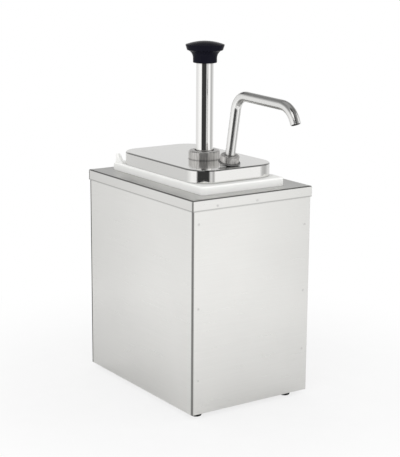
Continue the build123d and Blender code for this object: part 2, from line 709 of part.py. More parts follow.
def many_sided_nut(across, height, bore, lip_hole, lip, bevel):
    """A twelve-sided cap nut standing on z = 0: bevelled top, plain bore, thin lip at the top."""
    nut = extrude(RegularPolygon(across / 2, NUT12_SIDES), height)
    crown = cone(across, across - 2 * bevel / tan(radians(NUT_BEVEL_ANGLE)), height - bevel, height)
    crown += rod(across, 0, height - bevel)
    nut = nut & crown
    nut -= rod(bore, -1, height - lip)
    return nut - rod(lip_hole, -1, height + 1)


def collar_nut():
    nut = many_sided_nut(
        COLLAR_NUT_ACROSS,
        COLLAR_NUT_H,
        CYL_OD + 2 * RUNNING,
        COLLAR_NUT_HOLE_D,
        COLLAR_NUT_LIP,
        COLLAR_NUT_BEVEL,
    )
    return on_pump(Pos(0, 0, LID_Z) * Rot(0, 0, COLLAR_NUT_TURN) * nut)


def guide_bush():
    """The plastic bush in the neck that guides the plunger tube."""
    top = LID_Z + NECK_H
    return on_pump(pipe(CYL_ID - 2 * RUNNING, TUBE_OD + 2 * RUNNING, top - BUSH_L, top))


# ------------------------------------------------------------------ plunger
def plunger_tube():
    low = PISTON_Z + PISTON_H
    return on_pump(pipe(TUBE_OD, TUBE_ID, low, KNOB_Z + KNOB_POCKET))


def knob():
    """The turned knob: straight shank, hollow neck, tapered rim and shallow domed crown."""
    shank = KNOB_SHANK_D / 2
    rim = KNOB_D / 2
    flare = rim * 0.82  # top of the hollow neck
    under = rim * 0.92  # underside of the rim
    crown = rim - KNOB_RIM_R
    corner = KNOB_RIM_R * (1 - sqrt(0.5))
    neck_z = KNOB_SHANK_H
    under_z = KNOB_H - KNOB_CROWN_H - KNOB_RIM_H
    flare_z = under_z - 0.9
    rim_z = KNOB_H - KNOB_CROWN_H
    crown_r = (crown**2 + KNOB_CROWN_H**2) / (2 * KNOB_CROWN_H)
    crown_mid = KNOB_H - crown_r + sqrt(crown_r**2 - crown**2 / 4)
    outline = [
        Line((0, 0, 0), (shank, 0, 0)),
        Line((shank, 0, 0), (shank, 0, neck_z)),
        ThreePointArc(
            (shank, 0, neck_z),
            (shank + (flare - shank) * 0.32, 0, neck_z + (flare_z - neck_z) * 0.62),
            (flare, 0, flare_z),
        ),
        Line((flare, 0, flare_z), (under, 0, under_z)),
        Line((under, 0, under_z), (rim, 0, rim_z - KNOB_RIM_R)),
        ThreePointArc(
            (rim, 0, rim_z - KNOB_RIM_R),
            (rim - corner, 0, rim_z - corner),
            (crown, 0, rim_z),
        ),
        ThreePointArc((crown, 0, rim_z), (crown / 2, 0, crown_mid), (0, 0, KNOB_H)),
        Line((0, 0, KNOB_H), (0, 0, 0)),
    ]
    body = revolve(make_face(outline), Axis.Z)
    body = fillet(body.edges().sort_by(Axis.Z)[0], KNOB_RIM_R * 0.8)
    body -= rod(TUBE_OD + 2 * RUNNING, -1, KNOB_POCKET)
    return on_pump(Pos(0, 0, KNOB_Z) * body)


def seal_places():
    """Underside of each piston seal, above the piston's own underside."""
    return (PISTON_LAND, PISTON_H - PISTON_LAND - SEAL_W)


def piston():
    """The piston, grooved for two seals, with a spigot up into the plunger tube."""
    radius = CYL_ID / 2 - PISTON_CLEAR
    body = rod(2 * radius, 0, PISTON_H)
    for z in seal_places():
        body -= pipe(2 * radius + 1, 2 * (radius - SEAL_D), z, z + SEAL_W)
    body += rod(TUBE_ID - 2 * RUNNING, PISTON_H, PISTON_H + PISTON_SPIGOT)
    body -= rod(SPRING_D - 3 * SPRING_WIRE, -1, SPRING_DISH)
    return on_pump(Pos(0, 0, PISTON_Z) * body)


def piston_seals():
    """Two lip seals in the piston grooves, running in the cylinder."""
    outer = CYL_ID - 2 * RUNNING
    inner = 2 * (CYL_ID / 2 - PISTON_CLEAR - SEAL_D) + 2 * RUNNING
    seals = []
    for z in seal_places():
        ring = turned(
            (inner / 2, z + SEAL_SIDE),
            (outer / 2 - SEAL_LIP / 2, z + SEAL_SIDE),
            (outer / 2, z + SEAL_LIP),
            (outer / 2, z + SEAL_W - SEAL_LIP),
            (outer / 2 - SEAL_LIP / 2, z + SEAL_W - SEAL_SIDE),
            (inner / 2, z + SEAL_W - SEAL_SIDE),
        )
        seals.append(on_pump(Pos(0, 0, PISTON_Z) * ring))
    return Compound(children=seals)


def return_spring():
    """The coil spring between the valve body and the piston."""
    low = CYL_Z + SPRING_WIRE / 2 + SEAT
    high = PISTON_Z - SPRING_WIRE / 2 - SEAT
    mean_r = (SPRING_D - SPRING_WIRE) / 2
    path = Helix((high - low) / SPRING_TURNS, high - low, mean_r)
    wire = Plane(origin=path @ 0, z_dir=path % 0) * Circle(SPRING_WIRE / 2)
    return on_pump(Pos(0, 0, low) * sweep(wire, path))


# ------------------------------------------------------------------ valves
def port_low_s():
    """Lower end of the discharge port, on the leaning axis."""
    return -(LID_Z - VALVE_Z - PORT_END_Z) / cos(radians(LEAN))


def port_high_s():
    """Upper face of the discharge port, which takes the discharge tube."""
    return port_low_s() + VALVE_BELOW + VALVE_SOCKET


def discharge_seat_s():
    """Level of the discharge ball's seat on the leaning axis."""
    return port_low_s() + PORT_SEAT


def suction_seat_z():
    """Top of the intake cap, where the suction ball sits."""
    return VALVE_Z + INTAKE_CAP_THREAD_H


def valve_body():
    """The block at the foot of the cylinder: socket, ball chamber and the leaning discharge port."""
    chamber_d = BALL_D + 2 * CHAMBER_CLEAR
    chamber_top = suction_seat_z() + BALL_D + BALL_LIFT + BALL_STOP
    body = rod(VALVE_D, VALVE_Z, VALVE_TOP_Z)
    body = fillet(body.edges().sort_by(Axis.Z)[-1], VALVE_EDGE_R)
    port = on_lean(rod(PORT_D, port_low_s(), port_high_s()))
    block_ = on_pump(body) + port
    block_ -= on_pump(rod(CYL_OD + 2 * RUNNING, CYL_Z, VALVE_TOP_Z + 1))
    block_ -= on_pump(rod(chamber_d, VALVE_Z - 1, chamber_top))
    block_ -= on_pump(rod(SPRING_D - 3 * SPRING_WIRE, chamber_top - 1, CYL_Z + 1))
    ball_d = DISCHARGE_BALL_D
    low = port_low_s() + PORT_FLOOR
    seat = discharge_seat_s()
    high = port_high_s() + 1
    block_ -= on_lean(rod(PORT_BORE_D, low, seat + 1))
    block_ -= on_lean(rod(ball_d + 2 * CHAMBER_CLEAR, seat, seat + ball_d + BALL_LIFT + BALL_STOP))
    block_ -= on_lean(rod(PORT_BORE_D, seat, high))
    block_ -= on_lean(rod(SPOUT_OD + 2 * RUNNING, port_high_s() - PORT_SOCKET, high))
    way_z = chamber_top - PORT_BORE_D / 2 - BALL_STOP
    way = Pos(0, PUMP_Y, way_z) * Rot(90, 0, 0) * rod(PORT_BORE_D, chamber_d / 2 - 2, cross_way(way_z))
    return block_ - way


def cross_way(z):
    """Distance from the pump axis to the leaning axis at a height."""
    return PUMP_Y - (SPOUT_Y + (LID_Z - z) * tan(radians(LEAN)))


def intake_cap():
    """The cap screwed in from below: suction seat on top, bored through, slotted foot."""
    chamber_d = BALL_D + 2 * CHAMBER_CLEAR
    top = suction_seat_z()
    low = VALVE_Z - INTAKE_CAP_H + INTAKE_CAP_THREAD_H
    cap = rod(chamber_d - 2 * RUNNING, VALVE_Z, top) + rod(INTAKE_FOOT_D, low, VALVE_Z)
    cap -= rod(INTAKE_D, low - 1, top + 1)
    for turn in (0, 90):
        notch = box(-VALVE_D, VALVE_D, -INTAKE_NOTCH_W / 2, INTAKE_NOTCH_W / 2, low - 1, low + INTAKE_FOOT_H)
        cap -= Rot(0, 0, turn) * notch
    return on_pump(cap)


def ball_on_seat(ball_d, seat_d):
    """Height of a ball's centre above the edge of the round seat it rests on."""
    return sqrt(ball_d**2 - seat_d**2) / 2


def suction_ball():
    z = suction_seat_z() + ball_on_seat(BALL_D, INTAKE_D) + SEAT
    return on_pump(Pos(0, 0, z) * Sphere(BALL_D / 2))


def discharge_ball():
    s = discharge_seat_s() + ball_on_seat(DISCHARGE_BALL_D, PORT_BORE_D) + SEAT
    return on_lean(Pos(0, 0, s) * Sphere(DISCHARGE_BALL_D / 2))


# ------------------------------------------------------------------ discharge and spout
def discharge_tube():
    """The straight leaning tube from the valve port up to the union."""
    return on_lean(pipe(SPOUT_OD, SPOUT_ID, port_high_s() - PORT_SOCKET, SOCKET_S - SOCKET_STOP))


def spout_boss():
    """The leaning bush welded in the lid, square to the spout at both ends."""
    return on_lean(pipe(BOSS_D, UNION_OD + 2 * SLIP, -BOSS_DOWN, RING_S))


def spout_union():
    """The threaded union: tube socket below, shoulder under the boss, spout socket above."""
    low = -BOSS_DOWN - UNION_SHOULDER_T - UNION_TAIL
    body = rod(UNION_OD, low, UNION_TOP_S)
    body += rod(BOSS_D, -BOSS_DOWN - UNION_SHOULDER_T, -BOSS_DOWN)
    body -= rod(SPOUT_ID, low - 1, UNION_TOP_S + 1)
    body -= rod(SPOUT_OD + 2 * RUNNING, SOCKET_S, UNION_TOP_S + 1)
    body -= rod(SPOUT_OD + 2 * RUNNING, low - 1, SOCKET_S - SOCKET_STOP)
    return on_lean(body)


def spout_ring():
    """The black ring under the spout nut, rounded at its edge."""
    ring = rod(RING_D, RING_S, NUT_S)
    ring = fillet(ring.edges(), RING_T * 0.4)
    return on_lean(ring - rod(UNION_OD + 2 * SLIP, RING_S - 1, NUT_S + 1))


def spout_nut():
    nut = many_sided_nut(
        SPOUT_NUT_ACROSS,
        SPOUT_NUT_H,
        UNION_OD + 2 * RUNNING,
        SPOUT_OD + 2 * SPOUT_NUT_CLEAR,
        SPOUT_NUT_LIP,
        SPOUT_NUT_BEVEL,
    )
    return on_lean(Pos(0, 0, NUT_S) * nut)


def spout_path():
    """The spout's centre line in the plane x = 0: leaning leg, drooping upper leg and turned-down end."""
    lean = radians(LEAN)
    low_s = SOCKET_S + SLIP
    low = (0, SPOUT_Y - low_s * sin(lean), LID_Z + low_s * cos(lean))
    high_z = LID_Z + SPOUT_Z
    near = (0, SPOUT_Y - SPOUT_Z * tan(lean), high_z)
    far_y = SPOUT_Y - SPOUT_REACH
    far_z = high_z - (near[1] - far_y) * tan(radians(SPOUT_DROOP))
    far = (0, far_y, far_z)
    turn = radians(TIP_TURN)
    run = BEND_TIP_R * tan((turn - radians(SPOUT_DROOP)) / 2) + TIP_STRAIGHT
    tip = (0, far_y - run * cos(turn), far_z - run * sin(turn))
    return FilletPolyline(low, near, far, tip, radius=(BEND_LOW_R, BEND_TIP_R))


def spout():
    """The bent tube, with a retaining bead that the spout nut holds."""
    path = spout_path()
    start = Plane(origin=path @ 0, z_dir=path % 0)
    tube = sweep(start * Circle(SPOUT_OD / 2), path) - sweep(start * Circle(SPOUT_ID / 2), path)
    bead = pipe(SPOUT_BEAD_D, SPOUT_OD - 0.4, BEAD_S, BEAD_S + SPOUT_BEAD_T)
    return tube + on_lean(bead)


# ------------------------------------------------------------------ controls
def thermostat_body():
    """The thermostat case behind the panel, with its neck through the panel."""
    case = Pos(0, 0, -SHEET - STAT_DEEP / 2) * Box(STAT_W, STAT_W, STAT_DEEP)
    case = fillet(case.edges().filter_by(Axis.Z), STAT_EDGE_R)
    case += rod(STAT_NECK_D, -SHEET, DIAL_GAP * 0.6)
    case -= rod(SPINDLE_D + 2 * RUNNING, -SHEET - SPINDLE_IN, 5)
    for x in (-STAT_SCREW_PITCH / 2, STAT_SCREW_PITCH / 2):
        case -= Pos(x, 0, 0) * rod(STAT_SCREW_D + 2 * RUNNING, -SHEET - STAT_SCREW_L - SLIP, 1)
    for x in (-STAT_TAB_X, STAT_TAB_X):
        case += Pos(x, 0, -SHEET - STAT_DEEP) * tab(TAB_W, TAB_T, -1)
    return on_rear(case, DIAL_X)


def thermostat_screws():
    """Two screws that hold the thermostat, hidden by the dial."""
    head = rod(STAT_SCREW_D * 1.7, 0, DIAL_GAP * 0.8)
    screw = head + rod(STAT_SCREW_D, -SHEET - STAT_SCREW_L, 0)
    places = (-STAT_SCREW_PITCH / 2, STAT_SCREW_PITCH / 2)
    return Compound(children=[on_rear(Pos(x, 0, 0) * screw, DIAL_X) for x in places])


def thermostat_spindle():
    """The D-shaped spindle that the dial turns."""
    pin = rod(SPINDLE_D, -SHEET - SPINDLE_IN + SEAT, SPINDLE_OUT)
    flat = Pos(0, SPINDLE_D / 2, SPINDLE_OUT) * Box(SPINDLE_D, 2 * SPINDLE_FLAT, 2 * SPINDLE_FLAT_L)
    return on_rear(pin - flat, DIAL_X)


def thermostat_dial():
    """The dial: round skirt, raised grip bar with pinched sides, D-shaped bore."""
    skirt = cone(DIAL_D, DIAL_D - DIAL_TAPER, DIAL_GAP, DIAL_GAP + DIAL_SKIRT_H)
    skirt = fillet(skirt.edges().sort_by(Axis.Z)[-1], DIAL_TAPER / 3)
    grip = Pos(0, 0, DIAL_GAP + DIAL_SKIRT_H / 2) * extrude(
        SlotOverall(DIAL_D * 0.8, DIAL_GRIP_W), DIAL_H - DIAL_SKIRT_H / 2
    )
    grip = fillet(grip.faces().sort_by(Axis.Z)[-1].edges(), DIAL_TAPER / 2)
    high = SPINDLE_OUT + SEAT
    bore = rod(SPINDLE_D + 2 * RUNNING, DIAL_GAP - 1, high)
    key = Pos(0, SPINDLE_D / 2 + RUNNING, high) * Box(SPINDLE_D + 1, 2 * SPINDLE_FLAT, 2 * SPINDLE_FLAT_L)
    return on_rear(skirt + Rot(0, 0, 45) * grip - (bore - key), DIAL_X)


def switch_housing():
    """The snap-in switch frame with its open window."""
    frame = block(SWITCH_W, SWITCH_H, 1.5, 0, SWITCH_BEZEL)
    frame = fillet(frame.faces().sort_by(Axis.Z)[-1].edges(), 0.6)
    inside = SWITCH_FRAME * 2
    frame += Pos(0, 0, -SWITCH_DEEP / 2) * Box(SWITCH_W - SWITCH_FRAME, SWITCH_H - SWITCH_FRAME, SWITCH_DEEP)
    frame -= Pos(0, 0, -ROCKER_UNDER / 2) * Box(SWITCH_W - inside, SWITCH_H - inside, 3 * ROCKER_UNDER)
    for y in (-TAB_L * 0.8, 0, TAB_L * 0.8):
        frame += Pos(0, y, -SWITCH_DEEP) * tab(TAB_W, TAB_T, -1)
    return on_rear(frame, SWITCH_X)


def rocker():
    """The rocker, tilted to its off position about a pivot just inside the frame."""
    half = SWITCH_H / 2 - SWITCH_FRAME - ROCKER_GAP
    end_low = -ROCKER_UNDER * 0.4
    profile = Polyline(
        (-half, end_low),
        (-half, ROCKER_END_H),
        (0, ROCKER_MID_H),
        (half, ROCKER_END_H),
        (half, end_low),
        (0, -ROCKER_UNDER),
        close=True,
    )
    side = extrude(make_face(profile), SWITCH_W / 2 - SWITCH_FRAME - SEAT, both=True)
    upright = Rot(0, 90, 0) * Rot(0, 0, 90) * side
    return on_rear(Pos(0, 0, ROCKER_PIVOT) * Rot(ROCKER_TILT, 0, 0) * upright, SWITCH_X)


def lamp_body():
    """The lamp holder: bezel outside, barrel behind the panel."""
    barrel = rod(LAMP_D - 2 * LAMP_WALL, -LAMP_DEEP, 0) + rod(LAMP_BEZEL_D, 0, LAMP_BEZEL_H)
    barrel = fillet(barrel.edges().sort_by(Axis.Z)[-1], LAMP_WALL / 2)
    barrel -= rod(LAMP_D - 4 * LAMP_WALL, -LAMP_POCKET, 2 * LAMP_BEZEL_H)
    for x in (-2 * LAMP_WALL, 2 * LAMP_WALL):
        barrel += Pos(x, 0, -LAMP_DEEP) * tab(TAB_T, LAMP_TAB_W, -1)
    return on_rear(barrel, LAMP_X)


def lamp_lens():
    """The domed lens of the pilot lamp."""
    dome_r = LAMP_D / 2 - SLIP
    sunk = dome_r * 0.2
    dome = Sphere(dome_r) & rod(3 * dome_r, LAMP_BEZEL_H - sunk, 2 * dome_r)
    stem = rod(LAMP_D - 4 * LAMP_WALL - 2 * SLIP, -LAMP_POCKET + SEAT, LAMP_BEZEL_H + SLIP)
    return on_rear(stem + Pos(0, 0, sunk) * dome, LAMP_X)


def power_inlet():
    """The appliance inlet: flange with two screw holes, open socket, body behind the panel."""
    flange = block(INLET_W, INLET_H, 4, 0, INLET_FLANGE)
    body = Pos(0, 0, -INLET_DEEP / 2) * Box(INLET_BODY_W, INLET_BODY_H, INLET_DEEP)
    socket_plan = RectangleRounded(
        INLET_BODY_W - 2 * INLET_WALL, INLET_BODY_H - 2 * INLET_WALL, 1.5 * INLET_WALL
    )
    socket = Pos(0, 0, INLET_FLANGE - INLET_CAVITY_DEPTH) * extrude(socket_plan, INLET_CAVITY_DEPTH + 1)
    inlet = flange + body - socket
    for x in (-INLET_SCREW_PITCH / 2, INLET_SCREW_PITCH / 2):
        inlet -= Pos(x, 0, 0) * rod(STAT_SCREW_D + 2 * SLIP, -1, INLET_FLANGE + 1)
    for x, y in pin_places():
        inlet -= Pos(x, y, -INLET_DEEP) * Box(PIN_W + 2 * RUNNING, PIN_H + 2 * RUNNING, 2 * INLET_DEEP)
    return on_rear(inlet, INLET_X)


def pin_places():
    """The three blades of the inlet."""
    return ((-PIN_PITCH, -PIN_OFFSET), (0, PIN_OFFSET), (PIN_PITCH, -PIN_OFFSET))


def inlet_pins():
    pins = []
    low = -INLET_DEEP - PIN_TAIL
    high = INLET_FLANGE - PIN_RECESS
    for x, y in pin_places():
        blade = Pos(x, y, (low + high) / 2) * Box(PIN_W, PIN_H, high - low)
        pins.append(on_rear(blade, INLET_X))
    return Compound(children=pins)


def pan_screw(diameter, head_d, head_h, length):
    """A pan-head screw with its head standing on z = 0 and its shank below."""
    head = rod(head_d, 0, head_h)
    head = fillet(head.edges().sort_by(Axis.Z)[-1], head_h * 0.4)
    return head + rod(diameter, -length, 0) - drive(head_d, head_h)


def drive(head_d, top):
    """A cross recess for a screwdriver."""
    slot = Pos(0, 0, top) * Box(head_d * 0.55, head_d * 0.13, head_d * 0.3)
    return slot + Rot(0, 0, 90) * slot


def inlet_screws():
    screw = pan_screw(STAT_SCREW_D, 5.6, 1.8, INLET_FLANGE + 6)
    places = (-INLET_SCREW_PITCH / 2, INLET_SCREW_PITCH / 2)
    return Compound(children=[on_rear(Pos(x, 0, INLET_FLANGE) * screw, INLET_X) for x in places])


def rear_panel_screws():
    screw = pan_screw(PANEL_SCREW_D, PANEL_SCREW_HEAD_D, PANEL_SCREW_HEAD_H, PANEL_SCREW_L)
    return Compound(children=[on_rear(screw, x, z) for x, z in panel_screw_places()])


def terminal_block():
    """A three-way ceramic block on the base tray."""
    low = BASE_Z + SHEET
    near = BLOCK_Y - BLOCK_D / 2
    body = box(-BLOCK_W / 2, BLOCK_W / 2, near, near + BLOCK_D, low, low + BLOCK_H)
    body = fillet(body.edges().filter_by(Axis.Z), 2 * SHEET)
    for way in range(-2, 3):
        x = way * BLOCK_PITCH
        body -= Pos(x, BLOCK_Y, low + BLOCK_H) * rod(BLOCK_SCREW_D, -BLOCK_H / 3, 1)
        wire_hole = Rot(90, 0, 0) * rod(BLOCK_WIRE_D, -BLOCK_D, BLOCK_D)
        body -= Pos(x, BLOCK_Y, low + BLOCK_WIRE_Z) * wire_hole
    return body


# ------------------------------------------------------------------ sensing bulb and leads
def bulb_z():
    """Centre line of the bulb, against the clamp plate."""
    return CLAMP_Z - BULB_D / 2 - RUNNING


def thermostat_bulb():
    """The sensing bulb under the clamp plate and its capillary to the thermostat case."""
    rear = JAR_Y + BULB_L / 2
    bulb = Pos(BULB_X, JAR_Y, bulb_z()) * Rot(90, 0, 0) * rod(BULB_D, -BULB_L / 2, BULB_L / 2)
    bulb = fillet(bulb.edges(), BULB_D * 0.3)
    case_y = REAR_Y - SHEET - STAT_DEEP / 2
    case_top = CONTROL_Z + STAT_W / 2
    loop_z = case_top + CAPILLARY_RISE
    path = FilletPolyline(
        (BULB_X, rear - 1, bulb_z()),
        (BULB_X, case_y - STAT_DEEP, bulb_z()),
        (DIAL_X, case_y - STAT_DEEP / 3, loop_z),
        (DIAL_X, case_y, loop_z),
        (DIAL_X, case_y, case_top),
        radius=CAPILLARY_BEND,
    )
    return bulb + sweep(Plane(origin=path @ 0, z_dir=path % 0) * Circle(CAPILLARY_D / 2), path)


def bulb_clips():
    """Two U-shaped saddles that hold the bulb to the clamp plate."""
    saddles = []
    bore_d = BULB_D + 2 * RUNNING
    bore = Rot(90, 0, 0) * rod(bore_d, -CLIP_L, CLIP_L)
    bore += Pos(0, 0, BULB_D) * Box(bore_d, 2 * CLIP_L, 2 * BULB_D)
    for y in (-BULB_L / 4, BULB_L / 4):
        saddle = Pos(BULB_X, JAR_Y + y, CLAMP_Z - BULB_D * 0.6) * Box(CLIP_W, CLIP_L, BULB_D * 1.2)
        saddle -= Pos(BULB_X, JAR_Y + y, bulb_z()) * bore
        saddles.append(saddle)
    return Compound(children=saddles)


def push_on(width, depth):
    """An insulated push-on sleeve over a tab that points down from z = 0."""
    low = -TAB_L - 2 * SLEEVE_WALL
    sleeve = Pos(0, 0, (low - 1) / 2) * Box(width + 2 * SLEEVE_WALL, depth + 2 * SLEEVE_WALL, -low - 1)
    return sleeve - Pos(0, 0, -TAB_L / 2) * Box(width + 2 * RUNNING, depth + 2 * RUNNING, TAB_L + RUNNING)


def lead(start, start_way, end, end_way, *by):
    """A lead between two terminals: straight out of each, and by way of points given as a share
    of the distance with a shift to the rear and a shift up."""
    first = Vector(*start) + Vector(*start_way) * LEAD_STUB
    last = Vector(*end) + Vector(*end_way) * LEAD_STUB
    points = [Vector(*start), first]
    for share, rearward, upward in by:
        points.append(first + (last - first) * share + Vector(0, rearward, upward))
    points += [last, Vector(*end)]
    path = FilletPolyline(*points, radius=LEAD_BEND)
    return sweep(Plane(origin=path @ 0, z_dir=path % 0) * Circle(LEAD_D / 2), path)


def rear_terminal(x, local_y, root):
    """Where a lead leaves the sleeve on a rear-panel tab whose root is that deep in the cabinet."""
    return (x, REAR_Y - root - TAB_L - 2 * SLEEVE_WALL, CONTROL_Z - local_y)


def block_terminal(way, side):
    """Where a lead enters the terminal block, side 1 at the rear."""
    return (way * BLOCK_PITCH, BLOCK_Y + side * BLOCK_D / 2, BASE_Z + SHEET + BLOCK_WIRE_Z)


def supply_leads():
    """Leads from the inlet through switch and thermostat, and to the lamp and terminal block."""
    forward = (0, -1, 0)
    rearward = (0, 1, 0)
    tail = (PIN_W, PIN_H)
    flat = (TAB_W, TAB_T)
    ends = [(INLET_X + x, y, INLET_DEEP, tail) for x, y in pin_places()]
    ends += [(SWITCH_X, y, SWITCH_DEEP, flat) for y in (-TAB_L * 0.8, 0)]
    ends += [(LAMP_X + x, 0, LAMP_DEEP, (TAB_T, LAMP_TAB_W)) for x in (-2 * LAMP_WALL, 2 * LAMP_WALL)]
    ends += [(DIAL_X + x, 0, SHEET + STAT_DEEP, flat) for x in (-STAT_TAB_X, STAT_TAB_X)]
    pieces = [on_rear(Pos(0, y, -root) * push_on(*size), x) for x, y, root, size in ends]
    live, earth, neutral, switch_in, switch_out, lamp_a, lamp_b, stat_in, stat_out = [
        rear_terminal(x, y, root) for x, y, root, size in ends
    ]
    rows = [
        (live, forward, switch_in, forward, (0.2, -9, 10), (0.8, -9, 8)),
        (switch_out, forward, stat_in, forward, (0.2, -8, 10), (0.8, -4, 10)),
        (stat_out, forward, block_terminal(2, 1), rearward, (0.3, -2, -12)),
        (neutral, forward, block_terminal(-2, 1), rearward, (0.4, -2, -8)),
        (earth, forward, block_terminal(0, 1), rearward, (0.15, -2, -20), (0.7, 0, -9)),
        (lamp_a, forward, block_terminal(-1, 1), rearward, (0.4, -2, -6)),
        (lamp_b, forward, block_terminal(1, 1), rearward, (0.4, -2, -6)),
    ]
    pieces += [lead(*row) for row in rows]
    return Compound(children=pieces)


def heater_leads():
    """Leads from the terminal block to the cut-out and the heater pad."""
    down = (0, 0, -1)
    forward = (0, -1, 0)
    root = CLAMP_Z - CUTOUT_H
    pad_y = JAR_Y - PAD_D / 2
    pad_z = PAD_Z + PAD_T / 2
    tips = [(x, JAR_Y, root - TAB_L - 2 * SLEEVE_WALL) for x in (CUTOUT_D / 4, -CUTOUT_D / 4)]
    pieces = [Pos(x, y, root) * push_on(TAB_T, TAB_W) for x, y, z in tips]
    rows = [
        (block_terminal(2, -1), forward, tips[0], down, (0.5, -3, -8)),
        (tips[1], down, (LEAD_X, pad_y, pad_z), forward, (0.3, 0, -10), (0.9, -6, -22)),
        (block_terminal(-2, -1), forward, (-LEAD_X, pad_y, pad_z), forward, (0.5, 0, -27), (0.9, -9, -22)),
    ]
    pieces += [lead(*row) for row in rows]
    return Compound(children=pieces)


# ------------------------------------------------------------------ the assembly
def build():
    """Every separate piece by its node name."""
    nodes = {
        "front_panel": front_panel(),
        "left_side_panel": side_panel(-1),
        "right_side_panel": side_panel(1),
        "rear_panel": rear_panel(),
        "base_tray": base_tray(),
        "top_frame": top_frame(),
        "well_liner": well_liner(),
        "heater_pad": heater_pad(),
        "heater_clamp_plate": heater_clamp_plate(),
        "heater_nuts": heater_nuts(),
        "insulation_blanket": insulation_blanket(),
        "thermal_cutout": thermal_cutout(),
        "foot_screws": at_feet(foot_screw()),
        "foot_nuts": at_feet(
            hexagon(FOOT_NUT_AF, BASE_Z + SHEET, BASE_Z + SHEET + FOOT_NUT_H, FOOT_SCREW_D + 2 * RUNNING)
        ),
        "thermostat_body": thermostat_body(),
        "thermostat_screws": thermostat_screws(),
        "thermostat_spindle": thermostat_spindle(),
        "thermostat_dial": thermostat_dial(),
        "switch_housing": switch_housing(),
        "rocker": rocker(),
        "lamp_body": lamp_body(),
        "lamp_lens": lamp_lens(),
        "power_inlet": power_inlet(),
        "inlet_pins": inlet_pins(),
        "inlet_screws": inlet_screws(),
        "rear_panel_screws": rear_panel_screws(),
        "terminal_block": terminal_block(),
        "thermostat_bulb": thermostat_bulb(),
        "bulb_clips": bulb_clips(),
        "supply_leads": supply_leads(),
        "heater_leads": heater_leads(),
        "jar": jar(),
        "lid": lid(),
        "pump_cylinder": pump_cylinder(),
        "cylinder_gasket": cylinder_gasket(),
        "collar_nut": collar_nut(),
        "guide_bush": guide_bush(),
        "plunger_tube": plunger_tube(),
        "knob": knob(),
        "piston": piston(),
        "piston_seals": piston_seals(),
        "return_spring": return_spring(),
        "valve_body": valve_body(),
        "intake_cap": intake_cap(),
        "suction_ball": suction_ball(),
        "discharge_ball": discharge_ball(),
        "discharge_tube": discharge_tube(),
        "spout_boss": spout_boss(),
        "spout_union": spout_union(),
        "spout_ring": spout_ring(),
        "spout_nut": spout_nut(),
        "spout": spout(),
    }
    for name, (x, y) in foot_places().items():
        nodes["foot_" + name] = Pos(x, y, 0) * rubber_foot()
    return nodes


if __name__ == "__main__":
    os.makedirs("parts", exist_ok=True)
    for node, shape in build().items():
        export_step(shape, os.path.join("parts", node + ".step"))
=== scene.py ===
"""Looks for the hot fudge warmer: finishes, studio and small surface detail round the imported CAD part."""

import json
import math

import bpy
from mathutils import Matrix, Vector


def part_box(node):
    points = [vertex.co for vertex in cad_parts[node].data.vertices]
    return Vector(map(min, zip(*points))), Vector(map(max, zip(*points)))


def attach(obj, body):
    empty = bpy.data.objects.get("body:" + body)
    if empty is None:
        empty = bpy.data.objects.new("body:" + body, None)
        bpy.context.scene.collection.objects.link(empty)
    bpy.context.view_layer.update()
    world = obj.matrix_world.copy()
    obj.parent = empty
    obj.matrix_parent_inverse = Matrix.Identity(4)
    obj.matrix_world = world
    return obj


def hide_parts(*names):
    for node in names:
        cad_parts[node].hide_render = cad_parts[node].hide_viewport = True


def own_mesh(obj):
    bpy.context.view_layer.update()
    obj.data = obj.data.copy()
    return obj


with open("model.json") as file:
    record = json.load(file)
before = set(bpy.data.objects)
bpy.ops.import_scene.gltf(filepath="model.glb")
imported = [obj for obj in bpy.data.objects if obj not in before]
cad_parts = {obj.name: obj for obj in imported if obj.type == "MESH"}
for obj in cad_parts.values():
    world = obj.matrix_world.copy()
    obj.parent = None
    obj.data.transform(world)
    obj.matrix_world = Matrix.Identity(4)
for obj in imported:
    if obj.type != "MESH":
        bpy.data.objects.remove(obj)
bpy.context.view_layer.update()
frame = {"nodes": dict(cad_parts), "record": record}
nodes_of = frame["nodes"]
top_low, top_high = (Vector(corner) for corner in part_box("top_frame"))

# ------------------------------------------------------------------ camera, solved from the photograph
CAMERA_PLACE = (-0.94431, -1.39697, 0.59724)  # metres
CAMERA_RIGHT = (0.82785, -0.56091, 0.00633)
CAMERA_UP = (0.12048, 0.18881, 0.97460)
CAMERA_LENS = 103.0  # millimetres, and so is the sensor's width
CAMERA_SENSOR = 36

# ------------------------------------------------------------------ painted shade on the steel, metres
SEAM_REACH = 0.003  # width of the crevices that get painted shade
CREVICE_FULL = 0.35  # openness at which a crevice is darkest
CREVICE_UNSHADED = 0.85  # and at which it gets no painted shade
CREVICE_SHADE = 0.30  # colour left in a crevice of metal by the painted shade
CREVICE_SAMPLES = 8
EDGE_SHADE = 0.30  # colour left on the painted shade line along a folded edge
TOP_SHADE = 0.72  # and on the flat top of a folded sheet, painted darker as shade
HEM_SHADOW = 0.66  # and along the lower edge of the top frame's skirt, as a painted shadow line
FOLD_CORE = 0.7  # a line along an edge is darkest up to this share of its reach
FOLD_FADE = 1.2  # and gone at this one
TOP_CORE = 0.1  # share of the reach at which the flat top starts to give way to the sides
FRONT_THINNER = 1.8  # how much narrower the line is along the front and the back
FAR_THINNER = 7.0  # and on the right and the rear, where the painted shade along the folds is thinner
WELD_SHADE_REACH = 0.0023  # reach of the painted shade round a spot weld's dimple
WELD_CORE = 1 / 3  # share of that reach that is darkest
WELD_SHADE = 0.86  # colour left there by the painted shade
WELD_INSET = 0.0085  # how far the welds are from the sides of the front
WELDS_LEFT = (0.16, 0.50, 0.89)  # their heights, as shares of the way from its foot to the top frame's top
WELDS_RIGHT = (0.21, 0.50, 0.82)
WELDS_SKIRT = ((-0.0547, 0.0095), (0.005, 0.0095))  # across from the middle, and down from the top
TURN_MIDDLE = 0.36  # upward part of the lid's direction halfway round its upper edge
RIM_CORE = 0.6  # the line there is darkest within this share of it
RIM_FADE = 0.85  # and gone at this one
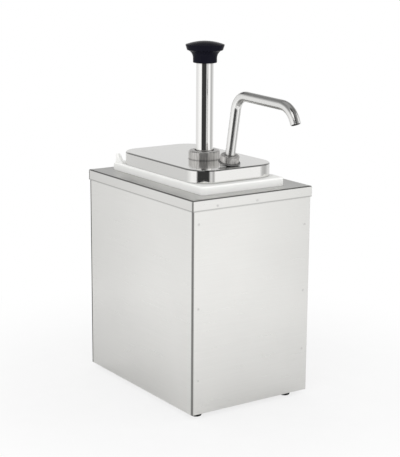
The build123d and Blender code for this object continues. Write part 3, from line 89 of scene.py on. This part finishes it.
LID_RIM_SHADE = 0.32  # colour left on that painted shade line
LID_SIDE_SHADE = 0.87  # colour of the lid's left and right sides, painted darker as shade
SIDE_SHADE = 0.93  # and of the skirt's sides, painted darker than its front as shade
SIDEWAYS_FROM = 0.93  # sideways part of a surface's direction where a side begins
SIDEWAYS_FULL = 0.99
CORNER_SHADE_FROM = 0.10  # painted shade: the steel is darker from this far from the front left corner, along the faces
CORNER_SHADE_TO = 0.34
CORNER_SHADE_LEVEL = 0.83  # colour left there by the painted shade
CORNER_SHADE_TILT = -0.28  # how much sooner that starts lower down

# ------------------------------------------------------------------ grain of the finishes
NOISE_LOW = 0.3  # a noise lies mostly between these two values
NOISE_HIGH = 0.7
METAL_DRIFT = 9.0  # scale of the slow changes of colour
PLASTIC_DRIFT = 22.0
PAPER_DRIFT = 30.0
PAPER_GRAIN = 900.0
METAL_RELIEF = 0.35  # strength of the bumps
PLASTIC_RELIEF = 0.3
PAPER_RELIEF = 0.1
PAPER_DEPTH = 0.0001
LEVEL_GRAIN = (12, 12, 800)  # how dense the brushing is along x, y and z
SOFT_GRAIN = (14, 14, 14)
TUBE_GRAIN = (30, 30, 30)
UPRIGHT_GRAIN = (560, 560, 45)

# ------------------------------------------------------------------ return spring, metres
SPRING_WIRE = 0.0018
SPRING_TURNS = 8.5
STEPS_PER_TURN = 32
WIRE_SIDES = 12

# ------------------------------------------------------------------ floor, metres
FLOOR_R = 0.56
FLOOR_SIDES = 96
FLOOR_GRAY = (0.84, 0.84, 0.84)
FLOOR_PALE = (0.88, 0.88, 0.88)
FLOOR_ROUGH = 0.85
SHADOW_NEAR = 0.20  # the floor keeps its shadow inside this distance
SHADOW_FAR = 0.50  # and is plain background beyond this one
SHADOW_LIGHTER = 0.78  # share of plain white in the floor that the camera sees near the object
MIRROR_NEAR = 0.44  # reflections show the floor as it is lit up to this distance, then white

# ------------------------------------------------------------------ studio light
LAMP_TARGET = (0, 0, 0.2)
SOFTBOXES = {  # place, width and height in metres, and power in watts
    "key": ((-1.5, -1.0, 2.0), 1.2, 1.2, 5),
    "fill": ((1.9, -1.2, 1.2), 1.2, 1.6, 4),
    "top": ((0.1, 0.4, 2.4), 1.6, 1.6, 1),
}
CEILING_LOW = 0.16  # height where the walls start to give way to the ceiling, as the sine of its elevation
CEILING_HIGH = 0.62  # and where the ceiling is at its own level
CEILING_LEVEL = 0.27  # brightness of the ceiling in reflections, as a share of the walls'
MATT_LOW = 1.32  # light on anything matt from the walls and from below
MATT_HIGH = 0.86  # and from the ceiling
WALL_LEVELS = (  # brightness of the walls in reflections, by the degrees to the right of the camera
    (-180, 0.76),
    (-150, 0.76),
    (-128, 0.80),
    (-104, 0.81),
    (-88, 0.93),
    (-70, 1.00),
    (-45, 1.00),
    (-38, 0.04),
    (18, 0.04),
    (25, 0.70),
    (34, 0.70),
    (38, 0.45),
    (44, 0.50),
    (50, 1.00),
    (73, 1.00),
    (83, 0.56),
    (105, 0.46),
    (130, 0.76),
    (180, 0.76),
)
WHITE = (1, 1, 1, 1)


# ------------------------------------------------------------------ camera
def camera():
    """The photograph's viewpoint."""
    data = bpy.data.cameras.new("camera")
    data.sensor_width = CAMERA_SENSOR
    data.lens = CAMERA_LENS
    made = bpy.data.objects.new("camera", data)
    right, up = Vector(CAMERA_RIGHT), Vector(CAMERA_UP)
    back = right.cross(up)
    turn = Matrix((right, up, back)).transposed()
    made.matrix_world = Matrix.Translation(CAMERA_PLACE) @ turn.to_4x4()
    bpy.context.scene.collection.objects.link(made)
    bpy.context.scene.camera = made


camera()


# ------------------------------------------------------------------ node helpers
class Nodes:
    """The node tree of a material or a world, and short calls to add to it."""

    def __init__(self, owner):
        owner.use_nodes = True
        self.tree = owner.node_tree
        self.tree.nodes.clear()

    def feed(self, value, socket):
        """Links a socket to another node's output, or sets it to a constant."""
        if hasattr(value, "is_linked"):
            self.tree.links.new(value, socket)
        else:
            socket.default_value = value

    def node(self, kind, **inputs):
        """A node with its inputs fed; an underscore stands for a space in their names."""
        made = self.tree.nodes.new("ShaderNode" + kind)
        for name, value in inputs.items():
            self.feed(value, made.inputs[name.replace("_", " ")])
        return made

    def math(self, operation, *values):
        """One maths node on plain values."""
        made = self.node("Math")
        made.operation = operation
        for value, socket in zip(values, made.inputs):
            self.feed(value, socket)
        return made.outputs[0]

    def scaled(self, colour, amount):
        """A colour times an amount."""
        made = self.node("VectorMath")
        made.operation = "SCALE"
        self.feed(colour, made.inputs[0])
        self.feed(amount, made.inputs["Scale"])
        return made.outputs["Vector"]

    def distance(self, start, end):
        """How far two places are apart."""
        made = self.node("VectorMath")
        made.operation = "DISTANCE"
        self.feed(start, made.inputs[0])
        self.feed(end, made.inputs[1])
        return made.outputs["Value"]

    def split(self, vector):
        """The x, y and z of a vector."""
        return self.node("SeparateXYZ", Vector=vector).outputs

    def ramp(self, value, start, end, low=0.0, high=1.0, smooth=False):
        """Goes from low to high while a value goes from start to end."""
        made = self.node("MapRange", Value=value, From_Min=start, From_Max=end, To_Min=low, To_Max=high)
        if smooth:
            made.interpolation_type = "SMOOTHSTEP"
        return made.outputs[0]

    def colours(self, factor, stops):
        """Turns a factor into colours, by stops that are each a position and a colour."""
        made = self.node("ValToRGB", Fac=factor)
        elements = made.color_ramp.elements
        while len(elements) < len(stops):
            elements.new(0.5)
        for element, (position, colour) in zip(elements, stops):
            element.position = position
            element.color = (*colour, 1)
        return made.outputs[0]

    def mix(self, factor, first, second):
        """The first shader where the factor is 0, and the second where it is 1."""
        made = self.node("MixShader")
        for value, socket in zip((factor, first, second), made.inputs):
            self.feed(value, socket)
        return made.outputs[0]

    def white(self, kind):
        """Plain white light of strength 1, as a background or an emission."""
        return self.node(kind, Color=WHITE, Strength=1.0).outputs[0]


class Shader(Nodes):
    """A material with one principled shader, and calls for what colours, roughens and raises it."""

    def __init__(self, name, **constants):
        self.material = bpy.data.materials.new(name)
        super().__init__(self.material)
        self.bsdf = self.node("BsdfPrincipled", **constants)
        self.out = self.node("OutputMaterial", Surface=self.bsdf.outputs[0])
        coordinates = self.node("TexCoord").outputs
        self.place = coordinates["Object"]
        self.facing = coordinates["Normal"]

    def noise(self, scale, stretch=(1, 1, 1), detail=3.0, roughness=0.5):
        """A noise whose features are about 1/scale metres across, drawn out along an axis."""
        mapping = self.node("Mapping", Vector=self.place, Scale=stretch)
        texture = self.node(
            "TexNoise", Vector=mapping.outputs[0], Scale=scale, Detail=detail, Roughness=roughness
        )
        return texture.outputs["Fac"]

    def spread(self, factor, middle, reach):
        """Turns a noise into values that reach as far below as above a middle."""
        return self.ramp(factor, NOISE_LOW, NOISE_HIGH, middle - reach, middle + reach)

    def tint(self, factor, low, high):
        """Turns a noise into colours from low to high."""
        return self.colours(factor, ((NOISE_LOW, low), (NOISE_HIGH, high)))

    def fold_lines(self, colour, sheet, reach, foot):
        """Darkens a colour as painted shade on a sheet's flat top and its upright, upper and lower edges."""
        corners = [Vector(corner) for corner in sheet.bound_box]
        low = Vector([min(corner[i] for corner in corners) for i in range(3)])
        high = Vector([max(corner[i] for corner in corners) for i in range(3)])
        x, y, z = self.split(self.place)

        def inward(along, start, end):
            """The distance from the nearer end, where the far end counts for more."""
            far = self.math("MULTIPLY", FAR_THINNER, self.math("SUBTRACT", end, along))
            return self.math("MINIMUM", self.math("SUBTRACT", along, start), far)

        core, fade = FOLD_CORE * reach, FOLD_FADE * reach
        from_x = inward(x, low.x, high.x)
        from_y = self.math("MULTIPLY", FRONT_THINNER, inward(y, low.y, high.y))
        from_top = self.math("SUBTRACT", high.z, z)
        near = self.math("MINIMUM", from_x, from_y)
        far = self.math("MAXIMUM", from_x, from_y)
        from_edge = self.math("MAXIMUM", near, self.math("MINIMUM", far, from_top))
        # painted shade along the edges, a painted shadow line at the skirt's foot, and painted shade on the
        # flat top
        edge = self.ramp(from_edge, core, fade, low=EDGE_SHADE, smooth=True)
        skirt_shadow = self.ramp(self.math("SUBTRACT", z, low.z), core, fade, low=foot)
        top = self.ramp(from_top, TOP_CORE * reach, reach, low=TOP_SHADE)
        return self.scaled(self.scaled(colour, self.math("MINIMUM", edge, skirt_shadow)), top)

    def shade_from_corner(self, colour, corner):
        """Darkens a colour slowly as painted shade along the faces from a corner, sooner lower down."""
        x, y, z = self.split(self.place)
        along = self.math("ADD", self.math("SUBTRACT", x, corner.x), self.math("SUBTRACT", y, corner.y))
        fall = self.math("MULTIPLY", self.math("SUBTRACT", z, corner.z), CORNER_SHADE_TILT)
        way = self.math("ADD", along, fall)
        return self.scaled(colour, self.ramp(way, CORNER_SHADE_FROM, CORNER_SHADE_TO, 1.0, CORNER_SHADE_LEVEL))

    def sides(self, colour, level):
        """Darkens a colour as painted shade on the faces that look left or right."""
        sideways = self.math("ABSOLUTE", self.split(self.facing)["X"])
        return self.scaled(colour, self.ramp(sideways, SIDEWAYS_FROM, SIDEWAYS_FULL, 1.0, level))

    def weld_dimple_shade(self, colour, welds):
        """Darkens a colour as painted shade round each spot weld's dimple."""
        nearest = 1.0
        for weld in welds:
            nearest = self.math("MINIMUM", self.distance(self.place, weld), nearest)
        mark = self.ramp(nearest, WELD_CORE * WELD_SHADE_REACH, WELD_SHADE_REACH, low=WELD_SHADE, smooth=True)
        return self.scaled(colour, mark)

    def rim_shade_line(self, colour, dark):
        """Darkens a colour as painted shade where the sheet turns from the top to the skirt."""
        off_middle = self.math("SUBTRACT", self.split(self.facing)["Z"], TURN_MIDDLE)
        slope = self.math("ABSOLUTE", off_middle)
        line = self.ramp(slope, RIM_CORE * TURN_MIDDLE, RIM_FADE * TURN_MIDDLE, low=dark, smooth=True)
        return self.scaled(colour, line)

    def crevice_shade(self, colour, low=CREVICE_SHADE):
        """Darkens a colour as painted shade in narrow crevices, by ambient occlusion."""
        crevice = self.node("AmbientOcclusion", Distance=SEAM_REACH)
        crevice.samples = CREVICE_SAMPLES
        return self.scaled(colour, self.ramp(crevice.outputs["AO"], CREVICE_FULL, CREVICE_UNSHADED, low))

    def finish(self, colour, roughness, height, relief, depth):
        """Feeds a colour, a roughness and a bump into the principled shader."""
        bump = self.node("Bump", Height=height, Strength=relief, Distance=depth)
        self.feed(colour, self.bsdf.inputs["Base Color"])
        self.feed(roughness, self.bsdf.inputs["Roughness"])
        self.feed(bump.outputs[0], self.bsdf.inputs["Normal"])
        return self.material


def shade(colour, amount):
    """A colour times an amount, no brighter than white."""
    return tuple(min(1.0, c * amount) for c in colour)


def metal(
    name, colour, rough, grain, depth=0.00002, vary=0.04, rough_vary=0.05, streak=0.0, dull=0.0, **marks
):
    """A metal with a grain of noise drawn out along the brushing, painted shade in seams and marks asked for.

    Its colour varies by a slow drift, and by its grain as far as streak says. Dull makes it less metallic.
    """
    shader = Shader(name, Metallic=1.0 - dull)
    lines = shader.noise(1.0, grain, detail=4.0, roughness=0.65)
    drift = shader.math("MULTIPLY", shader.noise(METAL_DRIFT, detail=2.0), 1 - streak)
    cloud = shader.math("ADD", drift, shader.math("MULTIPLY", lines, streak))
    tinted = shader.tint(cloud, shade(colour, 1 - vary), shade(colour, 1 + vary / 2))
    # painted shade along the folds, and a painted shadow line at a skirt's foot
    if "fold" in marks:
        tinted = shader.fold_lines(tinted, *marks["fold"])
    # painted shade away from a corner
    if "corner" in marks:
        tinted = shader.shade_from_corner(tinted, marks["corner"])
    # painted shade on the faces that look left or right
    if "side" in marks:
        tinted = shader.sides(tinted, marks["side"])
    # painted shade round the weld dimples
    if "welds" in marks:
        tinted = shader.weld_dimple_shade(tinted, marks["welds"])
    # painted shade along the lid's rim
    if "rim" in marks:
        tinted = shader.rim_shade_line(tinted, marks["rim"])
    # painted shade in crevices, by ambient occlusion
    return shader.finish(
        shader.crevice_shade(tinted), shader.spread(lines, rough, rough_vary), lines, METAL_RELIEF, depth
    )


def plastic(
    name, colour, rough, grain=900.0, depth=0.00003, vary=0.05, rough_vary=0.04, seam_shade=0.5, **constants
):
    """A moulded plastic or rubber with a fine even grain, and painted shade in its seams."""
    shader = Shader(name, **constants)
    fine = shader.noise(grain, detail=2.0)
    drift = shader.noise(PLASTIC_DRIFT, detail=2.0)
    tinted = shader.tint(drift, shade(colour, 1 - vary), shade(colour, 1 + vary))
    # painted shade in crevices, by ambient occlusion
    return shader.finish(
        shader.crevice_shade(tinted, seam_shade), shader.spread(fine, rough, rough_vary), fine, PLASTIC_RELIEF, depth
    )


# ------------------------------------------------------------------ finishes by material slot
def satin(name, **marks):
    """Level brushed steel sheet."""
    colour = (0.92, 0.915, 0.89)
    return metal(name, colour, 0.30, LEVEL_GRAIN, depth=0.000008, rough_vary=0.03, streak=0.5, **marks)


def polished(name, colour, rough, grain=SOFT_GRAIN, depth=0.000002, vary=0.02, **marks):
    """Steel with hardly any grain."""
    return metal(name, colour, rough, grain, depth, vary, rough_vary=0.02, **marks)


FINISHES = {
    "satin_steel": satin("satin steel"),
    "bright_steel": polished("bright steel", (0.86, 0.855, 0.84), 0.07),
    "nut_steel": metal(
        "satin nut steel",
        (0.74, 0.725, 0.705),
        0.34,
        UPRIGHT_GRAIN,
        depth=0.0001,
        vary=0.5,
        rough_vary=0.1,
        streak=1.0,
        dull=0.2,
    ),
    "hardware_steel": metal("plain steel", (0.62, 0.62, 0.61), 0.32, grain=(400, 400, 1800)),
    "aluminium_plate": metal("mill aluminium", (0.78, 0.79, 0.80), 0.42, grain=(1600, 14, 1600)),
    "brass": metal("brass", (0.76, 0.60, 0.30), 0.28, grain=(900, 60, 900)),
    "lead_sleeving": plastic(
        "woven lead sleeving", (0.55, 0.52, 0.40), 0.7, grain=2400.0, depth=0.0001, vary=0.15
    ),
    "jar_plastic": plastic(
        "white jar plastic",
        (0.95, 0.95, 0.93),
        0.55,
        grain=700.0,
        depth=0.00002,
        vary=0.015,
        # a little painted shade in its seams
        seam_shade=0.9,
        Specular_IOR_Level=0.3,
    ),
    "knob_plastic": plastic(
        "black knob plastic",
        (0.009, 0.009, 0.015),
        0.22,
        grain=500.0,
        depth=0.000002,
        vary=0.1,
        Specular_IOR_Level=0.025,
    ),
    "control_plastic": plastic("black control plastic", (0.022, 0.022, 0.024), 0.42),
    "valve_plastic": plastic("acetal", (0.80, 0.79, 0.75), 0.36),
    "rubber_black": plastic("black rubber", (0.020, 0.020, 0.021), 0.62, grain=1200.0, depth=0.00005),
    "seal_rubber": plastic("seal rubber", (0.030, 0.030, 0.030), 0.5),
    "heater_silicone": plastic("silicone heater", (0.50, 0.12, 0.05), 0.5, grain=1600.0, depth=0.00008),
    "mineral_wool": plastic("mineral wool", (0.60, 0.56, 0.42), 0.9, grain=260.0, depth=0.0008, vary=0.2),
    "terminal_ceramic": plastic("ceramic", (0.80, 0.78, 0.73), 0.5),
    "lens_amber": plastic(
        "amber lens", (0.75, 0.17, 0.02), 0.12, grain=300.0, depth=0.00001, Transmission_Weight=0.5
    ),
}


def wear(node, look):
    """Gives a CAD node one finish in place of any other."""
    materials = nodes_of[node].data.materials
    materials.clear()
    materials.append(look)


for part in frame["record"]["subparts"]:
    wear(part["node"], FINISHES[part["material_slot"]])


# ------------------------------------------------------------------ looks of single pieces
def weld_places():
    """The spot welds of the front panel and of the skirt above it."""
    low, high = (Vector(corner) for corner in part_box("front_panel"))
    tall = top_high.z - low.z
    places = [(low.x + WELD_INSET, low.y, low.z + share * tall) for share in WELDS_LEFT]
    places += [(high.x - WELD_INSET, low.y, low.z + share * tall) for share in WELDS_RIGHT]
    places += [(across, top_low.y, top_high.z - down) for across, down in WELDS_SKIRT]
    return places


FOLD_SHADE_REACH = {  # width of the painted shade line along the folds of each sheet, metres
    "top_frame": 0.0014,
    "front_panel": 0.0018,
    "rear_panel": 0.0018,
    "left_side_panel": 0.0034,
    "right_side_panel": 0.0034,
}
front_corner = Vector((top_low.x, top_low.y, top_high.z))
welds = weld_places()
for sheet, fold_reach in FOLD_SHADE_REACH.items():
    skirted = sheet == "top_frame"
    # painted shade along the folds, away from the front left corner, on the skirt's sides and round the welds
    look = satin(
        "satin steel of " + sheet,
        fold=(nodes_of[sheet], fold_reach, HEM_SHADOW if skirted else 1.0),
        corner=front_corner,
        side=SIDE_SHADE if skirted else 1.0,
        welds=welds,
    )
    wear(sheet, look)

OWN_LOOKS = {
    "spout": polished(
        "drawn spout steel", (0.90, 0.895, 0.88), 0.21, TUBE_GRAIN, depth=0.0000005, vary=0.03
    ),
    # painted light: the black ring rubber is given a lighter gray to make up for the shade under the nut
    "spout_ring": plastic("ring rubber painted lighter", (0.17, 0.168, 0.165), 0.4),
    # the lid's finish has painted shade along its rim and on its left and right sides
    "lid": polished(
        "polished lid steel",
        (0.87, 0.865, 0.845),
        0.11,
        depth=0.000001,
        vary=0.03,
        rim=LID_RIM_SHADE,
        side=LID_SIDE_SHADE,
    ),
    "plunger_tube": polished("polished tube steel", (0.94, 0.935, 0.92), 0.07),
}
for node, look in OWN_LOOKS.items():
    wear(node, look)


# ------------------------------------------------------------------ return spring
def return_spring():
    """The coil under the piston, as a swept ring."""
    low, high = (Vector(corner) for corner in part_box("return_spring"))
    middle = (low + high) / 2
    upward = Vector((0, 0, 1))
    wire_r = SPRING_WIRE / 2
    coil_r = (high.x - low.x) / 2 - wire_r
    bottom = low.z + wire_r
    rise = high.z - wire_r - bottom
    steps = round(SPRING_TURNS * STEPS_PER_TURN)
    points = []
    for step in range(steps + 1):
        turn = math.tau * SPRING_TURNS * step / steps
        outward = Vector((math.cos(turn), math.sin(turn), 0))
        centre = Vector((middle.x, middle.y, bottom + rise * step / steps)) + coil_r * outward
        for side in range(WIRE_SIDES):
            around = math.tau * side / WIRE_SIDES
            points.append(centre + wire_r * (math.cos(around) * outward + math.sin(around) * upward))
    faces = [range(WIRE_SIDES - 1, -1, -1), range(steps * WIRE_SIDES, (steps + 1) * WIRE_SIDES)]
    for step in range(steps):
        for side in range(WIRE_SIDES):
            first = step * WIRE_SIDES
            after = (side + 1) % WIRE_SIDES
            faces.append((first + side, first + after, first + WIRE_SIDES + after, first + WIRE_SIDES + side))
    mesh = bpy.data.meshes.new("return_spring_coil")
    mesh.from_pydata(points, [], faces)
    mesh.polygons.foreach_set("use_smooth", [len(face) == 4 for face in faces])
    mesh.materials.append(FINISHES["hardware_steel"])
    coil = bpy.data.objects.new("return_spring_coil", mesh)
    bpy.context.scene.collection.objects.link(coil)
    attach(coil, "lid_and_pump")
    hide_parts("return_spring")
    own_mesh(coil)


return_spring()


# ------------------------------------------------------------------ floor
def floor_paper():
    """Pale paper that keeps the shadow near the object, and is white beyond it to camera and mirrors."""
    shader = Shader("floor paper")
    paper = shader.tint(shader.noise(PAPER_DRIFT), FLOOR_GRAY, FLOOR_PALE)
    shader.finish(paper, FLOOR_ROUGH, shader.noise(PAPER_GRAIN), PAPER_RELIEF, PAPER_DEPTH)
    ray = shader.node("LightPath").outputs
    away = shader.distance(shader.place, (0, 0, 0))
    to_camera = shader.ramp(away, SHADOW_NEAR, SHADOW_FAR, low=SHADOW_LIGHTER, smooth=True)
    to_mirrors = shader.ramp(away, MIRROR_NEAR, FLOOR_R, smooth=True)
    mirrored = shader.math("MAXIMUM", ray["Is Glossy Ray"], ray["Is Transmission Ray"])
    in_camera = shader.math("MULTIPLY", to_camera, ray["Is Camera Ray"])
    in_mirrors = shader.math("MULTIPLY", to_mirrors, mirrored)
    share = shader.math("MAXIMUM", in_camera, in_mirrors)
    mixed = shader.mix(share, shader.bsdf.outputs[0], shader.white("Emission"))
    shader.feed(mixed, shader.out.inputs["Surface"])
    return shader.material


def floor():
    """A plain pale round floor."""
    mesh = bpy.data.meshes.new("floor")
    turns = [math.tau * i / FLOOR_SIDES for i in range(FLOOR_SIDES)]
    rim = [(FLOOR_R * math.cos(turn), FLOOR_R * math.sin(turn), 0) for turn in turns]
    mesh.from_pydata(rim, [], [range(FLOOR_SIDES)])
    mesh.materials.append(floor_paper())
    made = bpy.data.objects.new("floor", mesh)
    bpy.context.scene.collection.objects.link(made)


floor()


# ------------------------------------------------------------------ studio
def softbox(name, place, width, height, power):
    """A soft rectangular lamp that looks at the object."""
    data = bpy.data.lights.new(name, "AREA")
    data.shape = "RECTANGLE"
    data.size = width
    data.size_y = height
    data.energy = power
    lamp = bpy.data.objects.new(name, data)
    lamp.location = place
    lamp.rotation_mode = "QUATERNION"
    lamp.rotation_quaternion = (Vector(LAMP_TARGET) - Vector(place)).to_track_quat("-Z", "Y")
    bpy.context.scene.collection.objects.link(lamp)


for name, settings in SOFTBOXES.items():
    softbox(name, *settings)


def studio():
    """The world round the object, which differs by what looks at it.

    Reflections show pale walls with a dark end round the camera and a gray ceiling, matt surfaces get a
    softer light, and the camera and what shows through clear pieces have plain white.
    """
    world = bpy.data.worlds.new("studio")
    bpy.context.scene.world = world
    nodes = Nodes(world)
    camera_turn = math.atan2(CAMERA_PLACE[1], CAMERA_PLACE[0])
    direction = nodes.node("TexCoord").outputs["Generated"]
    turned = nodes.node("Mapping", Vector=direction, Rotation=(0, 0, -camera_turn))
    turned.vector_type = "VECTOR"
    x, y, z = nodes.split(turned.outputs[0])
    turn = nodes.ramp(nodes.math("ARCTAN2", y, x), -math.pi, math.pi)
    stops = [((degrees + 180) / 360, (level, level, level)) for degrees, level in WALL_LEVELS]
    sheen = nodes.ramp(z, CEILING_LOW, CEILING_HIGH, 1.0, CEILING_LEVEL, smooth=True)
    glow = nodes.ramp(z, CEILING_LOW, CEILING_HIGH, MATT_LOW, MATT_HIGH)
    room = nodes.node("Background", Color=nodes.colours(turn, stops), Strength=sheen)
    soft = nodes.node("Background", Color=WHITE, Strength=glow)
    ray = nodes.node("LightPath").outputs
    straight = nodes.math("MAXIMUM", ray["Is Camera Ray"], ray["Is Transmission Ray"])
    light = nodes.mix(ray["Is Diffuse Ray"], room.outputs[0], soft.outputs[0])
    nodes.node("OutputWorld", Surface=nodes.mix(straight, light, nodes.white("Background")))


studio()


bpy.context.scene.view_settings.view_transform = "Standard"
